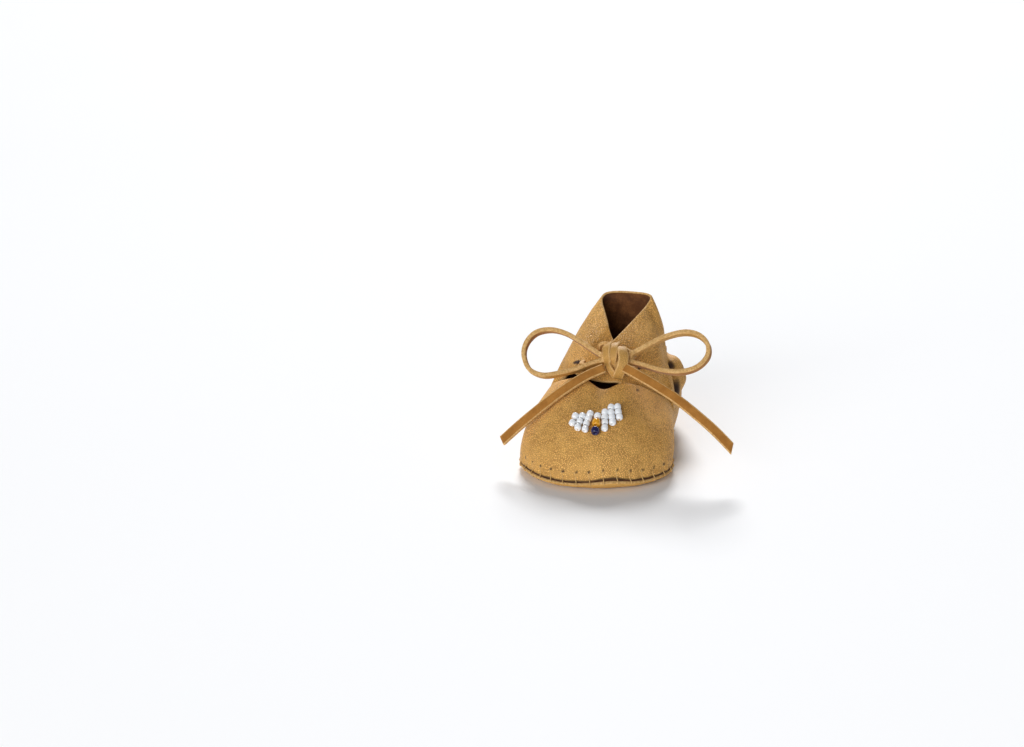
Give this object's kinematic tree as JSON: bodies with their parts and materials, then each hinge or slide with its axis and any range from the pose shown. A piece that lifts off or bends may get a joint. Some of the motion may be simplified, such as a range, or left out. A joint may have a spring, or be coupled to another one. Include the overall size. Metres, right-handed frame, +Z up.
{
  "type": "moccasin",
  "caption": "Soft infant moccasin with a leather upper stitched to a soft sole, an open ankle collar, a flat lace tied in a bow and a beaded motif on the vamp.",
  "frame": {"origin": "middle of the footprint box, on the surface that the sole rests on; the free loops and tails of the lace are left out of the box", "axes": "+Z up, toe towards -Y, heel towards +Y, +X to the right when the toe is seen from in front"},
  "size_m": [0.0776, 0.0828, 0.0473],
  "materials": {
    "leather": "matt pebble grain outside, brown suede inside",
    "lace_leather": "smooth on the grain side, suede on the flesh side",
    "thread": "waxed sewing thread",
    "bead_white": "glossy opaque glass",
    "bead_yellow": "glossy opaque glass",
    "bead_blue": "glossy opaque glass"
  },
  "bodies": {
    "shoe": {"sole": "leather", "vamp": "leather", "quarters": "leather", "flap_left": "leather", "flap_right": "leather", "sole_stitches": "thread", "heel_stitches": "thread", "ankle_lace": "lace_leather", "knot_core": "lace_leather", "knot_wrap": "lace_leather", "beads_left_wing": "bead_white", "beads_right_wing": "bead_white", "bead_head": "bead_white", "bead_yellow": "bead_yellow", "bead_blue": "bead_blue", "bead_thread": "thread"},
    "collar": {"ankle_collar": "leather", "collar_stitches": "thread"},
    "loop_left": {"bow_loop_left": "lace_leather"},
    "loop_right": {"bow_loop_right": "lace_leather"},
    "tail_left": {"lace_tail_left": "lace_leather"},
    "tail_right": {"lace_tail_right": "lace_leather"}
  },
  "joints": [
    {"name": "collar_fold", "type": "hinge", "parent": "shoe", "child": "collar", "pos_m": [0.0005, 0.0286, 0.0292], "axis": [-1, 0, 0], "range_deg": [0, 22], "stiffness_Nm_per_rad": 0.004},
    {"name": "loop_left_swing", "type": "hinge", "parent": "shoe", "child": "loop_left", "pos_m": [0.004, -0.009, 0.033], "axis": [0, -0.8192, 0.5736], "range_deg": [-8, 4], "stiffness_Nm_per_rad": 0.003},
    {"name": "loop_right_swing", "type": "hinge", "parent": "shoe", "child": "loop_right", "pos_m": [0.004, -0.009, 0.033], "axis": [0, -0.8192, 0.5736], "range_deg": [-8, 8], "stiffness_Nm_per_rad": 0.003},
    {"name": "tail_left_swing", "type": "hinge", "parent": "shoe", "child": "tail_left", "pos_m": [0.004, -0.009, 0.033], "axis": [0, -0.8192, 0.5736], "range_deg": [-14, 1], "stiffness_Nm_per_rad": 0.003},
    {"name": "tail_right_swing", "type": "hinge", "parent": "shoe", "child": "tail_right", "pos_m": [0.004, -0.009, 0.033], "axis": [0, -0.8192, 0.5736], "range_deg": [-6, 14], "stiffness_Nm_per_rad": 0.003}
  ]
}
